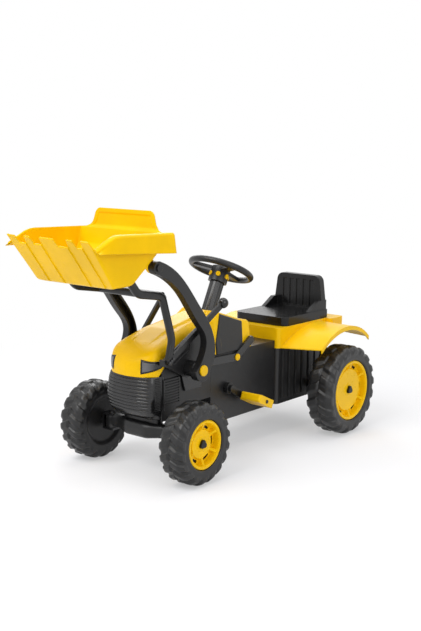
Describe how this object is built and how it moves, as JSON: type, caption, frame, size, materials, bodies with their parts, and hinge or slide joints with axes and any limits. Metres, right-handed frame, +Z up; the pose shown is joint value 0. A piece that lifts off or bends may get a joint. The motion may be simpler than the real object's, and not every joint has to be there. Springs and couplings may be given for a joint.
{
  "type": "ride-on pedal tractor with front loader",
  "caption": "Ride-on pedal tractor for a small child, with chain drive, steering wheel, moulded wheels, seat with fenders and a hand-worked front loader bucket.",
  "frame": {"origin": "on the ground under the middle of the bounding box", "axes": "+X forward towards the bucket, +Y towards the rider's left, +Z up"},
  "size_m": [1.1622, 0.51, 0.718],
  "materials": {
    "yellow_plastic": "satin gloss",
    "black_plastic": "satin",
    "wheel_plastic": "matt",
    "seat_plastic": "gloss",
    "knob_plastic": "gloss",
    "lamp_plastic": "gloss",
    "steel": "zinc plated",
    "black_steel": "satin"
  },
  "bodies": {
    "chassis": {"engine_body": "black_plastic", "tunnel_body": "black_plastic", "rear_body": "black_plastic", "grille": "black_plastic", "side_vents": "black_plastic", "hood": "yellow_plastic", "headlight_left": "lamp_plastic", "headlight_right": "lamp_plastic", "cowl_panels": "black_plastic", "steering_column": "black_plastic", "seat_base": "yellow_plastic", "seat": "seat_plastic", "seat_screws": "steel", "front_axle_beam": "black_plastic", "loader_mount_left": "black_plastic", "loader_mount_right": "black_plastic", "mount_caps": "yellow_plastic", "drive_bushes": "black_plastic", "chain": "steel", "tow_hitch": "black_plastic"},
    "steering": {"steering_shaft": "steel", "steering_wheel": "black_plastic", "hub_plugs": "yellow_plastic"},
    "horn": {"horn_button": "black_plastic"},
    "tie_rod": {"tie_rod": "black_steel"},
    "knuckle_left": {"knuckle_left": "steel"},
    "knuckle_right": {"knuckle_right": "steel"},
    "front_wheel_left": {"front_tyre_left": "wheel_plastic", "front_rim_left": "yellow_plastic", "front_hub_cap_left": "black_plastic"},
    "front_wheel_right": {"front_tyre_right": "wheel_plastic", "front_rim_right": "yellow_plastic", "front_hub_cap_right": "black_plastic"},
    "rear_drive": {"rear_axle": "steel", "rear_sprocket": "steel", "rear_tyre_right": "wheel_plastic", "rear_rim_right": "yellow_plastic", "rear_hub_cap_right": "black_plastic"},
    "rear_wheel_left": {"rear_tyre_left": "wheel_plastic", "rear_rim_left": "yellow_plastic", "rear_hub_cap_left": "black_plastic"},
    "crank": {"crank": "black_steel", "crank_sprocket": "steel"},
    "pedal_left": {"pedal_left": "yellow_plastic"},
    "pedal_right": {"pedal_right": "yellow_plastic"},
    "loader": {"loader_shaft": "steel", "lift_arm_left": "black_plastic", "lift_arm_right": "black_plastic", "side_plate_left": "black_plastic", "side_plate_right": "black_plastic", "pivot_caps": "yellow_plastic", "lift_lever": "black_steel", "lift_knob": "knob_plastic"},
    "scoop": {"bucket": "yellow_plastic", "tilt_frame": "black_steel", "tilt_lever": "black_steel", "tilt_knob": "knob_plastic", "lever_bolts": "steel", "hinge_pins": "black_steel"}
  },
  "joints": [
    {"name": "steering_turn", "type": "hinge", "parent": "chassis", "child": "steering", "pos_m": [-0.09409, 0, 0.523], "axis": [-0.4384, 0, 0.8988], "range_deg": [-45, 45]},
    {"name": "horn_press", "type": "slide", "parent": "steering", "child": "horn", "axis": [-0.4384, 0, 0.8988], "range_m": [-0.003, 0], "stiffness_N_per_m": 1500, "springref_m": 0.002},
    {"name": "tie_rod_slide", "type": "slide", "parent": "chassis", "child": "tie_rod", "axis": [0, -1, 0], "range_m": [-0.022, 0.022]},
    {"name": "knuckle_left_turn", "type": "hinge", "parent": "chassis", "child": "knuckle_left", "pos_m": [0.23991, 0.118, 0.1105], "axis": [0, 0, 1], "range_deg": [-19, 19]},
    {"name": "knuckle_right_turn", "type": "hinge", "parent": "chassis", "child": "knuckle_right", "pos_m": [0.23991, -0.118, 0.1105], "axis": [0, 0, 1], "range_deg": [-19, 19]},
    {"name": "front_left_roll", "type": "hinge", "parent": "knuckle_left", "child": "front_wheel_left", "pos_m": [0.23991, 0, 0.1105], "axis": [0, 1, 0], "continuous": true},
    {"name": "front_right_roll", "type": "hinge", "parent": "knuckle_right", "child": "front_wheel_right", "pos_m": [0.23991, 0, 0.1105], "axis": [0, 1, 0], "continuous": true},
    {"name": "rear_drive_roll", "type": "hinge", "parent": "chassis", "child": "rear_drive", "pos_m": [-0.43509, 0, 0.1375], "axis": [0, 1, 0], "continuous": true},
    {"name": "rear_left_roll", "type": "hinge", "parent": "chassis", "child": "rear_wheel_left", "pos_m": [-0.43509, 0, 0.1375], "axis": [0, 1, 0], "continuous": true},
    {"name": "crank_turn", "type": "hinge", "parent": "chassis", "child": "crank", "pos_m": [-0.01709, 0, 0.196], "axis": [0, 1, 0], "continuous": true},
    {"name": "pedal_left_turn", "type": "hinge", "parent": "crank", "child": "pedal_left", "pos_m": [-0.07795, 0, 0.15943], "axis": [0, 1, 0], "continuous": true},
    {"name": "pedal_right_turn", "type": "hinge", "parent": "crank", "child": "pedal_right", "pos_m": [0.04377, 0, 0.23257], "axis": [0, 1, 0], "continuous": true},
    {"name": "loader_lift", "type": "hinge", "parent": "chassis", "child": "loader", "pos_m": [0.17091, 0, 0.288], "axis": [0, 1, 0], "range_deg": [0, 63]},
    {"name": "bucket_dump", "type": "hinge", "parent": "loader", "child": "scoop", "pos_m": [0.34691, 0, 0.58], "axis": [0, -1, 0], "range_deg": [-50, 0]}
  ],
  "couplings": [
    {"joint": "tie_rod_slide", "follows": "steering_turn", "m_per_rad": 0.0272},
    {"joint": "knuckle_left_turn", "follows": "steering_turn", "ratio": 0.42},
    {"joint": "knuckle_right_turn", "follows": "steering_turn", "ratio": 0.42},
    {"joint": "crank_turn", "follows": "rear_drive_roll", "ratio": 0.61111}
  ]
}
